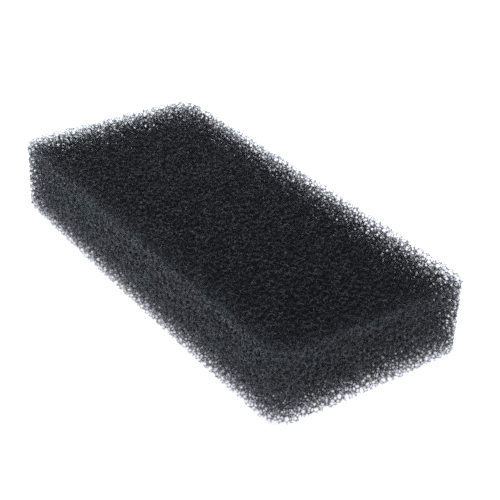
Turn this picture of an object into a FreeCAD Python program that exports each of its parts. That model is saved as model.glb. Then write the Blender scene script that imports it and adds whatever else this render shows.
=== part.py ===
"""Foam air filter element: one die-cut block of open-cell polyurethane foam.

Millimetres, +Z up. The origin is the centre of the lower face, which rests on the
ribs of the air box. +X runs along the block's length and +Y across its width.
"""

import FreeCAD, Part
import os

# Driving dimensions
LENGTH = 102.0         # along X
WIDTH = 47.5           # along Y
THICKNESS = 16.0       # along Z, a 5/8 in slab of foam
CORNER_RADIUS = 4.8    # the four upright corners, cut by the die
RIM_RADIUS = 0.6       # the soft edge that the knife leaves round both flat faces

NODE = "foam_element"
OUTPUT_FOLDER = "parts"


def block():
    """The plain block, centred on the origin in X and Y and standing on Z = 0."""
    corner = FreeCAD.Vector(-LENGTH / 2, -WIDTH / 2, 0)
    return Part.makeBox(LENGTH, WIDTH, THICKNESS, corner)


def is_upright(edge):
    """True for a straight edge that runs from the lower face to the upper one."""
    return abs(edge.BoundBox.ZLength - THICKNESS) < 1e-6


def is_level(edge):
    """True for an edge that lies in the lower or the upper face."""
    return edge.BoundBox.ZLength < 1e-6


def foam_element():
    """The block with its four corners rounded, then the rim of both flat faces."""
    body = block()
    corners = [edge for edge in body.Edges if is_upright(edge)]
    body = body.makeFillet(CORNER_RADIUS, corners)
    rims = [edge for edge in body.Edges if is_level(edge)]
    return body.makeFillet(RIM_RADIUS, rims)


def export(name, shape):
    """Write one sub-part and print its volume in cubic centimetres."""
    shape.exportStep(os.path.join(OUTPUT_FOLDER, name + ".step"))
    print(f"{name}: valid {shape.isValid()}, {len(shape.Solids)} solid, "
          f"{shape.Volume / 1000:.1f} cm3")


def main():
    os.makedirs(OUTPUT_FOLDER, exist_ok=True)
    export(NODE, foam_element())


main()
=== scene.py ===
"""Looks of the foam air filter element: a block of open-cell polyurethane foam.

The foam is made as the real one is. Cells fill space like packed bubbles, and the
skeleton is what is left when the films between them are taken away: a strut along
every edge where three cells meet, and a node where four struts join. Each strut has
a three-cornered section, with one corner towards each film, and swells into its
nodes. The block is then cut out of that skeleton as a knife does it.
"""

import itertools
import math

import bpy
import numpy as np
from mathutils import Matrix, Vector
from mathutils.kdtree import KDTree


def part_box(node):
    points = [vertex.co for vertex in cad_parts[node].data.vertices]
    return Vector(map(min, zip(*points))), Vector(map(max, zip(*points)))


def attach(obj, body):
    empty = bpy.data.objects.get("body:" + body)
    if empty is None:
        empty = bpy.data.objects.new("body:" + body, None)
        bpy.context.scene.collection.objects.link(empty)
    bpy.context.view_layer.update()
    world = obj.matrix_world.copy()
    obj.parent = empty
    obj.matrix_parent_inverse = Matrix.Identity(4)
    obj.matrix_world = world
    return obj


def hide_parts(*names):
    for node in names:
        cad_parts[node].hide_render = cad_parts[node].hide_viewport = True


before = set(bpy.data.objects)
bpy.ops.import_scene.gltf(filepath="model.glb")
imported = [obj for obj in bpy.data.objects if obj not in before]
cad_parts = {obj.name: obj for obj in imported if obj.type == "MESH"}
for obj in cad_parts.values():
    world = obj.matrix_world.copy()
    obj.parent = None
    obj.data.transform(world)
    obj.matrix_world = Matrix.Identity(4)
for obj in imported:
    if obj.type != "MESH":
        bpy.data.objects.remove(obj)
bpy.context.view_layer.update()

MM = 0.001

# The block
CORNER_RADIUS = 4.8 * MM       # upright corners
RIM_RADIUS = 0.6 * MM          # soft edge round the two flat faces
BOW = 0.5 * MM                 # how far the sides' middles stand out past the corners
RAGGED = 0.23 * MM             # how far the knife leaves a cut strut short, at most
RIM_HIGHLIGHT_WIDTH = 2.0 * MM              # how far in from the two rims the struts are painted paler, a painted highlight

# The foam
CELL = 1.27 * MM               # cube root of a cell's volume
SHAKE = 0.38                   # scatter of the lattice that the cells start from, in cells
TURN = (0.35, 0.61, 0.23)      # how that lattice is turned about X, Y and Z, in radians
MARGIN = 3 * CELL              # how far past the block the lattice goes
EVEN_ROUNDS = 6                # rounds in which the cells push each other apart
EVEN_REACH = 1.25 * CELL       # two cells push when they are closer than this
EVEN_STRENGTH = 0.22           # share of the overlap that a push takes back
EVEN_NEAR = 16                 # how many of its neighbours push a cell
EVEN_AGAIN = 3                 # rounds after which those neighbours are found again
NEAREST = 26                   # how many of its neighbours a cell is tested against
TOUCHING = 1.85 * CELL         # two cells further apart than this never touch
LARGEST_GAP = 1.05 * CELL      # the meeting points lie this near to their cells' centres
CHUNK = 150000                 # sets of cells handled at once
STRUT = 0.051 * MM             # from a strut's axis to its corners, halfway along
NODE = 0.102 * MM              # from a node's centre to its corners
NODE_SHARE = 0.75              # a node is no larger than this share of its shortest strut
DETAIL_DEPTH = 1.0 * MM        # struts this near the surface get their thin waist
RELAX_ROUNDS = 4               # rounds in which the struts pull their nodes
SHORTEST = 0.26 * MM           # two nodes nearer than this are pushed apart
PUSH_APART = 0.3               # share of the shortfall that each of the two moves
SHORTEST_CUT = 0.8 * NODE      # a cut strut shorter than this is left out
STEEPEST_CUT = 0.4             # keeps a slanting cut from drawing its end out to a spike
CUT_STEPS = 12                 # halvings that find where the knife meets a strut
SEED = 11

# The foam is stored in tiles, so that no mesh is too heavy to handle
TILES = (10, 3)
UV_SLANT = 0.35                # how far the height shifts a point in the tiles' UV maps
UV_EDGE = 0.01                 # the bare edge of those maps

NODE_NAME = "foam_element"

# The foam's colours: the two that its darkness varies between, the paler one painted along the rims
# as a highlight, and the warm and teal casts that its tint drifts between
DARKER = (0.024, 0.025, 0.029, 1)
LIGHTER = (0.044, 0.048, 0.058, 1)
RIM_HIGHLIGHT_COLOUR = (0.078, 0.085, 0.095, 1)
WARM = (1.15, 0.93, 1.01, 1)
TEAL = (0.78, 1.14, 0.99, 1)
SHADE_SIZE = 4.0 * MM          # how large the darker and lighter patches are
SHADE_RANGE = (0.36, 0.66)     # the noise at which a patch is wholly darker, and wholly lighter
CAST_SIZE = 7.0 * MM           # how large the warm and teal patches are
CAST_RANGE = (0.37, 0.61)      # the noise at which a patch is wholly warm, and wholly teal
GLOSS_SIZE = 1.1 * MM          # how large the glossier and duller patches are
GLOSS_RANGE = (0.3, 0.7)       # the noise at which a patch is glossiest, and dullest
BUMP_SIZE = 0.12 * MM          # how large the bumps on the struts are
BUMP_HEIGHT = 0.01 * MM
BUMP_STRENGTH = 0.25
ROUGHNESS = (0.24, 0.42)       # of the glossiest and of the dullest patches
SPECULAR = 0.7

# Soft lights: azimuth and elevation in degrees, then distance, width and height in
# metres, and power in watts. The two low ones are long strips that stand on the table,
# so that they light the block's sides and leave its upper face dark.
LIGHTS = {
    "behind": (254, 28, 0.26, 0.44, 0.18, 0.57),
    "top": (254, 74, 0.45, 0.60, 0.60, 0.24),
    "left_strip": (-30, 1.5, 0.60, 1.30, 0.035, 2.5),
    "right_strip": (125, 1.5, 0.60, 1.30, 0.035, 0.82),
}
LIGHT_COLOUR = (0.82, 0.94, 1.0)
AMBIENT = 0.16                 # strength of the light from all round
AMBIENT_COLOUR = (0.80, 0.88, 1.0)

# The white table
TABLE = 6.0                    # side, in metres
TABLE_COLOUR = (0.85, 0.85, 0.86)
TABLE_ROUGHNESS = 0.8
GLOW_COLOUR = (0.92, 0.92, 1.0)  # of its own light, a little violet
GLOW_SEEN = 1.08               # how bright that light is as the camera sees it
GLOW_LIT = 1.7                 # how bright it is as it lights the block
SHADE = (15 * MM, 7 * MM)      # how far in under the block the glow fades out, along X and Y

# The camera: where it looks from and how it is turned, in degrees, and its lens in mm.
# The distance and the place that it aims at, from the middle of the lower face, are
# shares of the block's length.
AZIMUTH, ELEVATION, ROLL = 53.66, 31.32, 2.17
LENS, SENSOR = 83.2, 36
DISTANCE = 2.545
AIM = (-0.0297, 0.0899)        # along X and Y
NEAREST_SEEN = 0.01            # in metres

# Haze that the white table throws over dark foam inside a lens: red, green and blue
HAZE = (0.0050, 0.0046, 0.0063)
PIXEL_SOFTNESS = 2.05          # width of the film's pixel filter, in pixels


# ---------------------------------------------------------------- cells

def lattice(low, high):
    """A body-centred lattice that fills the box, lined up with none of its faces."""
    half_step = (2 * CELL ** 3) ** (1 / 3) / 2
    about_x, about_y, about_z = (Matrix.Rotation(turn, 3, axis) for turn, axis in zip(TURN, "XYZ"))
    rotation = np.array(about_x @ about_y @ about_z)
    centre, half = (low + high) / 2, (high - low) / 2
    corners = np.array(list(itertools.product(*[(-size, size) for size in half])))
    reach = corners @ rotation / half_step
    axes = [np.arange(math.floor(a), math.ceil(b) + 1) for a, b in zip(reach.min(0), reach.max(0))]
    steps = np.stack(np.meshgrid(*axes, indexing="ij"), -1).reshape(-1, 3)
    odd = steps % 2
    steps = steps[(odd[:, 0] == odd[:, 1]) & (odd[:, 1] == odd[:, 2])]
    points = steps @ rotation.T * half_step
    return centre + points[(np.abs(points) < half).all(1)]


def nearest(points, count):
    """The numbers of the points nearest to each point, the nearest first."""
    tree = KDTree(len(points))
    for number, point in enumerate(points):
        tree.insert(point, number)
    tree.balance()
    return np.array([[hit[1] for hit in tree.find_n(point, count + 1)[1:]] for point in points])


def cell_centres(low, high, rng):
    """Centres of cells packed without rows: a lattice, shaken apart and then evened out."""
    points = lattice(low - MARGIN, high + MARGIN)
    points += rng.normal(size=points.shape) * SHAKE * CELL
    for step in range(EVEN_ROUNDS):
        if step % EVEN_AGAIN == 0:
            near = nearest(points, EVEN_NEAR)
        apart = points[:, None] - points[near]
        distance = np.linalg.norm(apart, axis=2, keepdims=True)
        push = np.maximum(EVEN_REACH - distance, 0) / distance * apart
        points += EVEN_STRENGTH * push.sum(1)
    return points


def sets_of_three(count):
    """Every three of a number of things, every two of them, and the two without each one."""
    trios = list(itertools.combinations(range(count), 3))
    duos = list(itertools.combinations(range(count), 2))
    place = {duo: number for number, duo in enumerate(duos)}
    without = [np.array([place[trio[a], trio[b]] for trio in trios])
               for a, b in ((1, 2), (0, 2), (0, 1))]
    return np.array(trios).T, np.array(duos).T, without


def meeting_points(centres, near):
    """Every point where four cells meet, and those four cells in rising order.

    It is the centre of a sphere through four cell centres that holds no other. Each
    one is found from the cell that lies furthest towards -X.
    """
    rank = np.argsort(np.argsort(centres[:, 0]))
    close = np.linalg.norm(centres[near] - centres[:, None], axis=2) < TOUCHING
    later = close & (rank[near] > rank[:, None])
    count = later.sum(1)
    points, cells = [], []
    for size in range(3, count.max() + 1):
        group = np.nonzero(count == size)[0]
        (one, two, three), duos, without = sets_of_three(size)
        chunk = max(1, CHUNK // len(one))
        for start in range(0, len(group), chunk):
            cell = group[start:start + chunk]
            others = near[cell][later[cell]].reshape(-1, size)
            to_later = centres[others] - centres[cell][:, None]
            square = (to_later ** 2).sum(2)
            cross = np.cross(to_later[:, duos[0]], to_later[:, duos[1]])
            volume = np.einsum("ctk,ctk->ct", to_later[:, one], cross[:, without[0]])
            offset = (square[:, one, None] * cross[:, without[0]]
                      - square[:, two, None] * cross[:, without[1]]
                      + square[:, three, None] * cross[:, without[2]])
            with np.errstate(divide="ignore", invalid="ignore"):
                offset /= 2 * volume[..., None]
            row, trio = np.nonzero((offset ** 2).sum(2) < LARGEST_GAP ** 2)
            offset = offset[row, trio]
            to_near = (centres[near[cell]] - centres[cell][:, None])[row]
            reach = 2 * np.einsum("qk,qjk->qj", offset, to_near)
            empty = (reach <= (to_near ** 2).sum(2) * (1 + 1e-9)).all(1)
            row, trio, offset = row[empty], trio[empty], offset[empty]
            points.append(centres[cell[row]] + offset)
            cells.append(np.stack([cell[row], *(others[row, part[trio]]
                                                for part in (one, two, three))], 1))
    return np.concatenate(points), np.sort(np.concatenate(cells), 1)


# ---------------------------------------------------------------- skeleton

def match_struts(cells):
    """Struts as (node, side, node, side): two nodes that share three of their four cells.

    A node's side k faces away from the k-th of its cells, along the strut that the
    other three share.
    """
    keys, nodes, sides = [], [], []
    base = int(cells.max()) + 1
    for side in range(4):
        trio = np.delete(cells, side, axis=1).astype(np.int64)
        keys.append((trio[:, 0] * base + trio[:, 1]) * base + trio[:, 2])
        nodes.append(np.arange(len(cells)))
        sides.append(np.full(len(cells), side))
    keys, nodes, sides = (np.concatenate(part) for part in (keys, nodes, sides))
    order = np.argsort(keys, kind="stable")
    keys, nodes, sides = keys[order], nodes[order], sides[order]
    same = keys[1:] == keys[:-1]
    before = np.concatenate([[False], same[:-1]])
    after = np.concatenate([same[1:], [False]])
    first = np.nonzero(same & ~before & ~after)[0]
    return np.stack([nodes[first], sides[first], nodes[first + 1], sides[first + 1]], 1)


def relax(points, struts):
    """Draws each node to the middle of its neighbours, as surface tension does.

    Two nodes that come too near to each other are pushed apart again.
    """
    a, b = struts[:, 0], struts[:, 2]
    full = np.bincount(np.concatenate([a, b]), minlength=len(points)) == 4

    def gathered(for_a, for_b):
        return np.stack([np.bincount(a, for_a[:, axis], len(points))
                         + np.bincount(b, for_b[:, axis], len(points)) for axis in range(3)], 1)

    for _ in range(RELAX_ROUNDS):
        middle = gathered(points[b], points[a]) / 4
        points = np.where(full[:, None], (points + middle) / 2, points)
        along = points[b] - points[a]
        length = np.linalg.norm(along, axis=1, keepdims=True)
        push = PUSH_APART * np.maximum(SHORTEST - length, 0) / np.maximum(length, 1e-9) * along
        points = points + gathered(-push, push)
    return points


def plan_and_level(points, low, high):
    """How far each point is outside the block's outline, and outside its two flat faces."""
    centre, half = (low + high) / 2, (high - low) / 2
    away = np.abs(points - centre)
    away[:, :2] += BOW * (away / half)[:, 1::-1] ** 2
    corner = away[:, :2] - (half[:2] - CORNER_RADIUS)
    plan = (np.linalg.norm(np.maximum(corner, 0), axis=1)
            + np.minimum(corner.max(1), 0) - CORNER_RADIUS)
    return np.stack([plan, away[:, 2] - half[2]], 1)


def depth(points, low, high):
    """How far each point is inside the block's cut surface; negative outside."""
    both = plan_and_level(points, low, high) + RIM_RADIUS
    return RIM_RADIUS - np.linalg.norm(np.maximum(both, 0), axis=1) - np.minimum(both.max(1), 0)


def painted_rim_highlight(points, low, high):
    """How much of the painted rim highlight each point gets, from 0 to 1."""
    return np.clip(1 + plan_and_level(points, low, high).min(1) / RIM_HIGHLIGHT_WIDTH, 0, 1)


def outward(points, low, high):
    """The cut surface's outward direction near each point."""
    small = 0.01 * MM
    slope = np.stack([
        depth(points - small * axis, low, high) - depth(points + small * axis, low, high)
        for axis in np.eye(3)], 1)
    return slope / np.maximum(np.linalg.norm(slope, axis=1, keepdims=True), 1e-12)


def unit(vectors):
    return vectors / np.maximum(np.linalg.norm(vectors, axis=-1, keepdims=True), 1e-12)


PAIRS = list(itertools.combinations(range(4), 2))
PAIR_AT = np.array([[PAIRS.index((min(a, b), max(a, b))) if a != b else -1
                     for b in range(4)] for a in range(4)])
# The three corners of a node that a strut on each side is joined to
RING = np.array([[PAIR_AT[side, other] for other in range(4) if other != side]
                 for side in range(4)])
# The three corners round the face that a node turns to each cell
FACE = np.array([[PAIR_AT[a, b] for a, b in itertools.combinations(
    [other for other in range(4) if other != cell], 2)] for cell in range(4)])


class Skeleton:
    """The skeleton's points and faces, each face with the tile that it is stored in."""

    def __init__(self):
        self.points = []
        self.quads = []
        self.triangles = []
        self.caps = []
        self.count = 0

    def add_points(self, points):
        """Adds points and returns the number of each, in the same rows."""
        numbers = self.count + np.arange(points.size // 3).reshape(points.shape[:-1])
        self.points.append(points.reshape(-1, 3))
        self.count += numbers.size
        return numbers

    def add_faces(self, kind, faces, tiles):
        """Adds faces of one kind to quads, triangles or caps. A cap is flat, the rest are smooth."""
        kind.append((faces.reshape(-1, faces.shape[-1]), tiles.ravel()))


def facing(corners, direction):
    """True for each row of three corners that turns counterclockwise round its direction."""
    first, second, third = np.moveaxis(corners, -2, 0)
    normal = np.cross(second - first, third - first)
    return (normal * direction).sum(-1) > 0


def turned(faces, right):
    """The faces, with those that aren't the right way round turned over."""
    return np.where(right[..., None], faces, faces[..., ::-1])


def bands(ring_a, ring_b, right):
    """The three four-sided faces between two rings of three corners."""
    after = [1, 2, 0]
    faces = np.stack([ring_a, ring_a[:, after], ring_b[:, after], ring_b], -1)
    return turned(faces, np.repeat(right[:, None], 3, 1))


def across(vectors, direction):
    """The unit vectors left when the part along the direction is taken away."""
    direction = direction[:, None]
    return unit(vectors - (vectors * direction).sum(-1, keepdims=True) * direction)


def node_corners(nodes, struts, radius):
    """The six corners of each node, one between each two of its struts."""
    away = np.zeros((len(nodes), 4, 3))
    a, side_a, b, side_b = struts.T
    along = unit(nodes[b] - nodes[a])
    away[a, side_a] = along
    away[b, side_b] = -along
    lost = np.linalg.norm(away, axis=2) < 0.5
    away[lost] = np.repeat(-unit(away.sum(1))[:, None], 4, 1)[lost]
    between = np.stack([unit(away[:, i] + away[:, j]) for i, j in PAIRS], 1)
    return nodes[:, None] + radius[:, None, None] * between


def thickness(share):
    """A strut's size at a share of the way from one node to the other."""
    return STRUT + (NODE - STRUT) * (2 * share - 1) ** 2


def add_nodes(made, nodes, corners, number, joined, tile):
    """The faces that a node turns to its four cells, and a cap on each side with no strut."""
    for cell in range(4):
        points = corners[:, FACE[cell]]
        right = facing(points, points.mean(1) - nodes)
        made.add_faces(made.triangles, turned(number[:, FACE[cell]], right), tile)
    for side in range(4):
        bare = ~joined[:, side]
        points = corners[bare][:, RING[side]]
        right = facing(points, points.mean(1) - nodes[bare])
        made.add_faces(made.caps, turned(number[bare][:, RING[side]], right), tile[bare])


def add_whole_struts(made, struts, nodes, corners, number, joined, tile, waisted):
    """Struts between two nodes of the block. One that leaves its tile ends in a cap."""
    a, side_a, b, side_b = struts.T
    along = unit(nodes[b] - nodes[a])
    start = corners[a[:, None], RING[side_a]]
    end = corners[b[:, None], RING[side_b]]
    right = facing(start, along)
    ring_a = number[a[:, None], RING[side_a]]
    ring_b = number[b[:, None], RING[side_b]]
    joined[a, side_a] = True
    leaves = tile[a] != tile[b]
    joined[b[~leaves], side_b[~leaves]] = True
    ring_b[leaves] = made.add_points(end[leaves])
    made.add_faces(made.caps, turned(ring_b, right)[leaves], tile[a][leaves])
    plain = ~waisted
    made.add_faces(made.quads, bands(ring_a[plain], ring_b[plain], right[plain]),
                   np.repeat(tile[a][plain], 3))
    a, b, along, right = a[waisted], b[waisted], along[waisted], right[waisted]
    spread = across(start[waisted] - nodes[a][:, None] + end[waisted] - nodes[b][:, None], along)
    waist = made.add_points((nodes[a] + nodes[b])[:, None] / 2 + STRUT * spread)
    tiles = np.repeat(tile[a], 3)
    made.add_faces(made.quads, bands(ring_a[waisted], waist, right), tiles)
    made.add_faces(made.quads, bands(waist, ring_b[waisted], right), tiles)


def add_cut_struts(made, struts, nodes, corners, number, joined, tile, low, high, rng):
    """Struts that the knife went through, from their node to the block's cut surface."""
    a, side, b, _ = struts.T
    along = nodes[b] - nodes[a]
    length = np.linalg.norm(along, axis=1)
    below, above = np.zeros(len(a)), np.ones(len(a))
    for _ in range(CUT_STEPS):
        share = (below + above) / 2
        within = depth(nodes[a] + share[:, None] * along, low, high) > 0
        below = np.where(within, share, below)
        above = np.where(within, above, share)
    share = below - rng.uniform(0, RAGGED, len(a)) / length
    reach = share * length
    kept = reach > SHORTEST_CUT
    a, side, along, share = a[kept], side[kept], unit(along[kept]), share[kept]
    start = corners[a[:, None], RING[side]]
    spread = across(start - nodes[a][:, None], along)
    tip = nodes[a] + reach[kept][:, None] * along
    ring = thickness(share)[:, None, None] * spread
    face = outward(tip, low, high)
    steepness = np.maximum((along * face).sum(-1), STEEPEST_CUT)
    slant = (ring * face[:, None]).sum(-1) / steepness[:, None]
    ring -= slant[..., None] * along[:, None]
    right = facing(start, along)
    number_tip = made.add_points(tip[:, None] + ring)
    joined[a, side] = True
    made.add_faces(made.quads, bands(number[a[:, None], RING[side]], number_tip, right),
                   np.repeat(tile[a], 3))
    made.add_faces(made.caps, turned(number_tip, right), tile[a])


def tile_of(points, low, high):
    """The number of the tile that each point is in."""
    place = (points - low)[:, :2] / (high - low)[:2] * TILES
    column, row = np.clip(place.astype(int), 0, np.array(TILES) - 1).T
    return row * TILES[0] + column


def foam_skeleton(low, high):
    """The whole skeleton of the block that fills the box from low to high."""
    rng = np.random.default_rng(SEED)
    centres = cell_centres(low, high, rng)
    nodes, cells = meeting_points(centres, nearest(centres, NEAREST))
    struts = match_struts(cells)
    nodes = relax(nodes, struts)
    inside = depth(nodes, low, high) > 0
    length = np.linalg.norm(nodes[struts[:, 0]] - nodes[struts[:, 2]], axis=1)
    shortest = np.full(len(nodes), NODE * 2)
    np.minimum.at(shortest, struts[:, 0], length)
    np.minimum.at(shortest, struts[:, 2], length)
    corners = node_corners(nodes, struts, np.minimum(NODE, NODE_SHARE * shortest))
    tile = tile_of(nodes, low, high)

    made = Skeleton()
    number = np.full((len(nodes), 6), -1)
    number[inside] = made.add_points(corners[inside])
    joined = np.zeros((len(nodes), 4), bool)
    from_inside = inside[struts[:, 0]]
    to_inside = inside[struts[:, 2]]
    whole = struts[from_inside & to_inside]
    middle = (nodes[whole[:, 0]] + nodes[whole[:, 2]]) / 2
    waisted = depth(middle, low, high) < DETAIL_DEPTH
    add_whole_struts(made, whole, nodes, corners, number, joined, tile, waisted)
    leaving = struts[from_inside & ~to_inside]
    entering = struts[to_inside & ~from_inside][:, [2, 3, 0, 1]]
    cut = np.concatenate([leaving, entering])
    add_cut_struts(made, cut, nodes, corners, number, joined, tile, low, high, rng)
    add_nodes(made, nodes[inside], corners[inside], number[inside], joined[inside], tile[inside])
    return made


def tile_faces(kind, tile):
    """The faces of one kind that are in a tile."""
    return np.concatenate([faces[tiles == tile] for faces, tiles in kind])


def tile_mesh(name, made, points, tile, low, high):
    """One tile's mesh: smooth struts and nodes, with flat cut ends."""
    quads, triangles, caps = (tile_faces(kind, tile)
                              for kind in (made.quads, made.triangles, made.caps))
    corners = np.concatenate([quads.ravel(), triangles.ravel(), caps.ravel()])
    used, corners = np.unique(corners, return_inverse=True)
    sizes = np.repeat([4, 3, 3], [len(quads), len(triangles), len(caps)])
    smooth = np.repeat([True, True, False], [len(quads), len(triangles), len(caps)])
    mesh = bpy.data.meshes.new(name)
    mesh.vertices.add(len(used))
    mesh.vertices.foreach_set("co", points[used].astype(np.float32).ravel())
    mesh.loops.add(len(corners))
    mesh.loops.foreach_set("vertex_index", corners.astype(np.int32))
    mesh.polygons.add(len(sizes))
    mesh.polygons.foreach_set("loop_start", (np.cumsum(sizes) - sizes).astype(np.int32))
    mesh.polygons.foreach_set("use_smooth", smooth)
    mesh.update(calc_edges=True)
    add_uv(mesh, points[used], corners, low, high)
    # how much of the painted rim highlight each point gets
    rim_highlight = mesh.attributes.new("painted_rim_highlight", "FLOAT", "POINT")
    rim_highlight.data.foreach_set("value", painted_rim_highlight(points[used], low, high).astype(np.float32))
    return mesh


def add_uv(mesh, points, corners, low, high):
    """A slanting view down on the tile, so that no face of the block is seen edge on."""
    slanted = points[:, :2] + UV_SLANT * points[:, 2:]
    first, last = slanted.min(0), slanted.max(0)
    place = UV_EDGE + (1 - 2 * UV_EDGE) * (slanted - first) / (last - first)
    layer = mesh.uv_layers.new(name="OFBake")
    layer.data.foreach_set("uv", place[corners].astype(np.float32).ravel())


def foam_tiles(material, low, high):
    """The foam as pieces that ride on the block's body and stand for its plain solid."""
    made = foam_skeleton(low, high)
    points = np.concatenate(made.points)
    for tile in range(TILES[0] * TILES[1]):
        row, column = divmod(tile, TILES[0])
        name = f"foam_row{row + 1}_column{column + 1}"
        mesh = tile_mesh(name, made, points, tile, low, high)
        mesh.materials.append(material)
        piece = bpy.data.objects.new(name, mesh)
        bpy.context.collection.objects.link(piece)
        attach(piece, "root")
        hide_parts(NODE_NAME)


# ---------------------------------------------------------------- material

def noise(nodes, links, place, size, detail):
    """Noise in the foam's own space, with features about as large as the size."""
    texture = nodes.new("ShaderNodeTexNoise")
    texture.inputs["Scale"].default_value = 1 / size
    texture.inputs["Detail"].default_value = detail
    links.new(place.outputs["Object"], texture.inputs["Vector"])
    return texture.outputs["Fac"]


def two_colours(nodes, first, second, positions):
    """A ramp from one colour to another, between two values of its factor."""
    ramp = nodes.new("ShaderNodeValToRGB")
    for element, colour, position in zip(ramp.color_ramp.elements, (first, second), positions):
        element.position = position
        element.color = colour
    return ramp


def foam_material():
    """Charcoal polyurethane: near black, slightly bluish, with a shine on every strut."""
    material = bpy.data.materials.new("charcoal_foam")
    material.use_nodes = True
    nodes, links = material.node_tree.nodes, material.node_tree.links
    shader = nodes["Principled BSDF"]
    shader.inputs["Specular IOR Level"].default_value = SPECULAR
    place = nodes.new("ShaderNodeTexCoord")

    tint = two_colours(nodes, DARKER, LIGHTER, SHADE_RANGE)
    links.new(noise(nodes, links, place, SHADE_SIZE, 3), tint.inputs["Fac"])
    # The rims are painted paler: a painted highlight along the block's edges
    rim_highlight = nodes.new("ShaderNodeAttribute")
    rim_highlight.attribute_name = "painted_rim_highlight"
    with_rim_highlight = nodes.new("ShaderNodeMix")
    with_rim_highlight.data_type = "RGBA"
    with_rim_highlight.inputs["B"].default_value = RIM_HIGHLIGHT_COLOUR
    links.new(rim_highlight.outputs["Fac"], with_rim_highlight.inputs["Factor"])
    links.new(tint.outputs["Color"], with_rim_highlight.inputs["A"])
    cast = two_colours(nodes, WARM, TEAL, CAST_RANGE)
    links.new(noise(nodes, links, place, CAST_SIZE, 2), cast.inputs["Fac"])
    drifted = nodes.new("ShaderNodeMix")
    drifted.data_type = "RGBA"
    drifted.blend_type = "MULTIPLY"
    drifted.inputs["Factor"].default_value = 1
    links.new(with_rim_highlight.outputs["Result"], drifted.inputs["A"])
    links.new(cast.outputs["Color"], drifted.inputs["B"])
    links.new(drifted.outputs["Result"], shader.inputs["Base Color"])

    shine = nodes.new("ShaderNodeMapRange")
    shine.inputs["From Min"].default_value = GLOSS_RANGE[0]
    shine.inputs["From Max"].default_value = GLOSS_RANGE[1]
    shine.inputs["To Min"].default_value = ROUGHNESS[0]
    shine.inputs["To Max"].default_value = ROUGHNESS[1]
    links.new(noise(nodes, links, place, GLOSS_SIZE, 2), shine.inputs["Value"])
    links.new(shine.outputs["Result"], shader.inputs["Roughness"])

    bump = nodes.new("ShaderNodeBump")
    bump.inputs["Strength"].default_value = BUMP_STRENGTH
    bump.inputs["Distance"].default_value = BUMP_HEIGHT
    links.new(noise(nodes, links, place, BUMP_SIZE, 2), bump.inputs["Height"])
    links.new(bump.outputs["Normal"], shader.inputs["Normal"])
    return material


# ---------------------------------------------------------------- stage

def pale_floor(low, high):
    """A white light table. The block stands in its own shade, so the glow fades out under it."""
    centre, half = (low + high)[:2] / 2, (high - low)[:2] / 2
    corners = np.array([(-1, -1), (1, -1), (1, 1), (-1, 1)])
    rings = np.array([(TABLE / 2, TABLE / 2), half, half - SHADE])
    points = [(*(centre + corner * ring), 0) for ring in rings for corner in corners]
    faces = [(first + k, first + (k + 1) % 4, first + (k + 1) % 4 + 4, first + k + 4)
             for first in (0, 4) for k in range(4)] + [(8, 9, 10, 11)]
    mesh = bpy.data.meshes.new("table")
    mesh.from_pydata(points, [], faces)
    glow = mesh.attributes.new("glow", "FLOAT", "POINT")
    glow.data.foreach_set("value", [1.0] * 8 + [0.0] * 4)
    mesh.materials.append(table_material())
    table = bpy.data.objects.new("table", mesh)
    bpy.context.collection.objects.link(table)


def table_material():
    """Matt white that glows, more to the block than to the camera."""
    material = bpy.data.materials.new("white_table")
    material.use_nodes = True
    nodes, links = material.node_tree.nodes, material.node_tree.links
    shader = nodes["Principled BSDF"]
    shader.inputs["Base Color"].default_value = (*TABLE_COLOUR, 1)
    shader.inputs["Roughness"].default_value = TABLE_ROUGHNESS
    shader.inputs["Emission Color"].default_value = (*GLOW_COLOUR, 1)
    path = nodes.new("ShaderNodeLightPath")
    full = nodes.new("ShaderNodeMapRange")
    full.inputs["To Min"].default_value = GLOW_LIT
    full.inputs["To Max"].default_value = GLOW_SEEN
    links.new(path.outputs["Is Camera Ray"], full.inputs["Value"])
    place = nodes.new("ShaderNodeAttribute")
    place.attribute_name = "glow"
    faded = nodes.new("ShaderNodeMapRange")
    links.new(place.outputs["Fac"], faded.inputs["Value"])
    links.new(full.outputs["Result"], faded.inputs["To Max"])
    links.new(faded.outputs["Result"], shader.inputs["Emission Strength"])
    return material


def studio_world():
    """A white backdrop all round, which gives only a little of the light."""
    world = bpy.data.worlds.new("studio")
    bpy.context.scene.world = world
    world.use_nodes = True
    nodes, links = world.node_tree.nodes, world.node_tree.links
    backdrop = nodes["Background"]
    backdrop.inputs["Color"].default_value = (1, 1, 1, 1)
    lit = nodes.new("ShaderNodeBackground")
    lit.inputs["Color"].default_value = (*AMBIENT_COLOUR, 1)
    lit.inputs["Strength"].default_value = AMBIENT
    path = nodes.new("ShaderNodeLightPath")
    choose = nodes.new("ShaderNodeMixShader")
    links.new(path.outputs["Is Camera Ray"], choose.inputs["Fac"])
    links.new(lit.outputs["Background"], choose.inputs[1])
    links.new(backdrop.outputs["Background"], choose.inputs[2])
    links.new(choose.outputs["Shader"], nodes["World Output"].inputs["Surface"])


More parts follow.
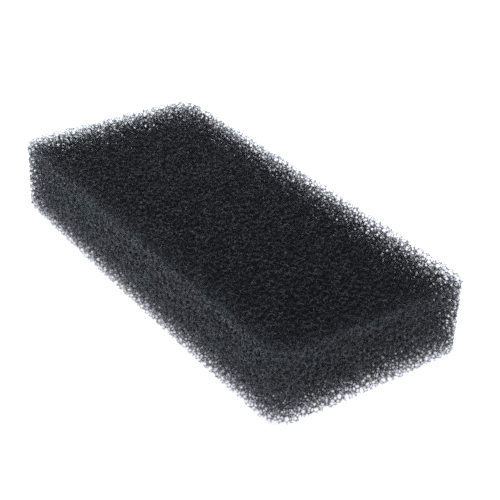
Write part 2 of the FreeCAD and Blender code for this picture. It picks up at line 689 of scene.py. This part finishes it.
def soft_light(name, azimuth, elevation, distance, width, height, power, aim):
    """A soft light panel that looks at the block from an azimuth and an elevation."""
    lamp = bpy.data.lights.new(name, "AREA")
    lamp.shape = "RECTANGLE"
    lamp.size = width
    lamp.size_y = height
    lamp.energy = power
    lamp.color = LIGHT_COLOUR
    light = bpy.data.objects.new(name, lamp)
    back = direction_back(azimuth, elevation)
    light.location = aim + back * distance
    light.rotation_euler = back.to_track_quat("Z", "Y").to_euler()
    bpy.context.collection.objects.link(light)


def direction_back(azimuth, elevation):
    """From what is looked at to the eye. Azimuth 0 looks along +Y, and 90 along -X."""
    a, e = math.radians(azimuth), math.radians(elevation)
    return Vector((math.sin(a) * math.cos(e), -math.cos(a) * math.cos(e), math.sin(e)))


def photo_camera(low, high):
    """The camera at the photograph's viewing angle."""
    length = high[0] - low[0]
    aim = Vector(((low[0] + high[0]) / 2 + AIM[0] * length,
                  (low[1] + high[1]) / 2 + AIM[1] * length, low[2]))
    back = direction_back(AZIMUTH, ELEVATION)
    right = Vector((math.cos(math.radians(AZIMUTH)), math.sin(math.radians(AZIMUTH)), 0))
    up = back.cross(right)
    tilt = math.radians(ROLL)
    across_view = math.cos(tilt) * right + math.sin(tilt) * up
    up_view = math.cos(tilt) * up - math.sin(tilt) * right
    data = bpy.data.cameras.new("camera")
    data.sensor_width = SENSOR
    data.lens = LENS
    data.clip_start = NEAREST_SEEN
    camera = bpy.data.objects.new("camera", data)
    axes = Matrix((across_view, up_view, back)).transposed()
    camera.matrix_world = Matrix.Translation(aim + back * DISTANCE * length) @ axes.to_4x4()
    bpy.context.collection.objects.link(camera)
    bpy.context.scene.camera = camera


def film():
    """Plain colours under a lens's slight haze, in soft pixels and without denoising.

    The struts are about as thin as a pixel, and a denoiser takes them for noise.
    """
    view = bpy.context.scene.view_settings
    view.view_transform = "Standard"
    view.use_curve_mapping = True
    view.curve_mapping.black_level = [-haze for haze in HAZE]
    view.curve_mapping.update()
    bpy.context.scene.cycles.use_denoising = False
    bpy.context.scene.cycles.filter_width = PIXEL_SOFTNESS


def main():
    low, high = (np.array(corner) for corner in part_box(NODE_NAME))
    centre = Vector((low + high) / 2)
    photo_camera(low, high)
    pale_floor(low, high)
    studio_world()
    for name, settings in LIGHTS.items():
        soft_light(name, *settings, centre)
    film()
    foam_tiles(foam_material(), low, high)


main()
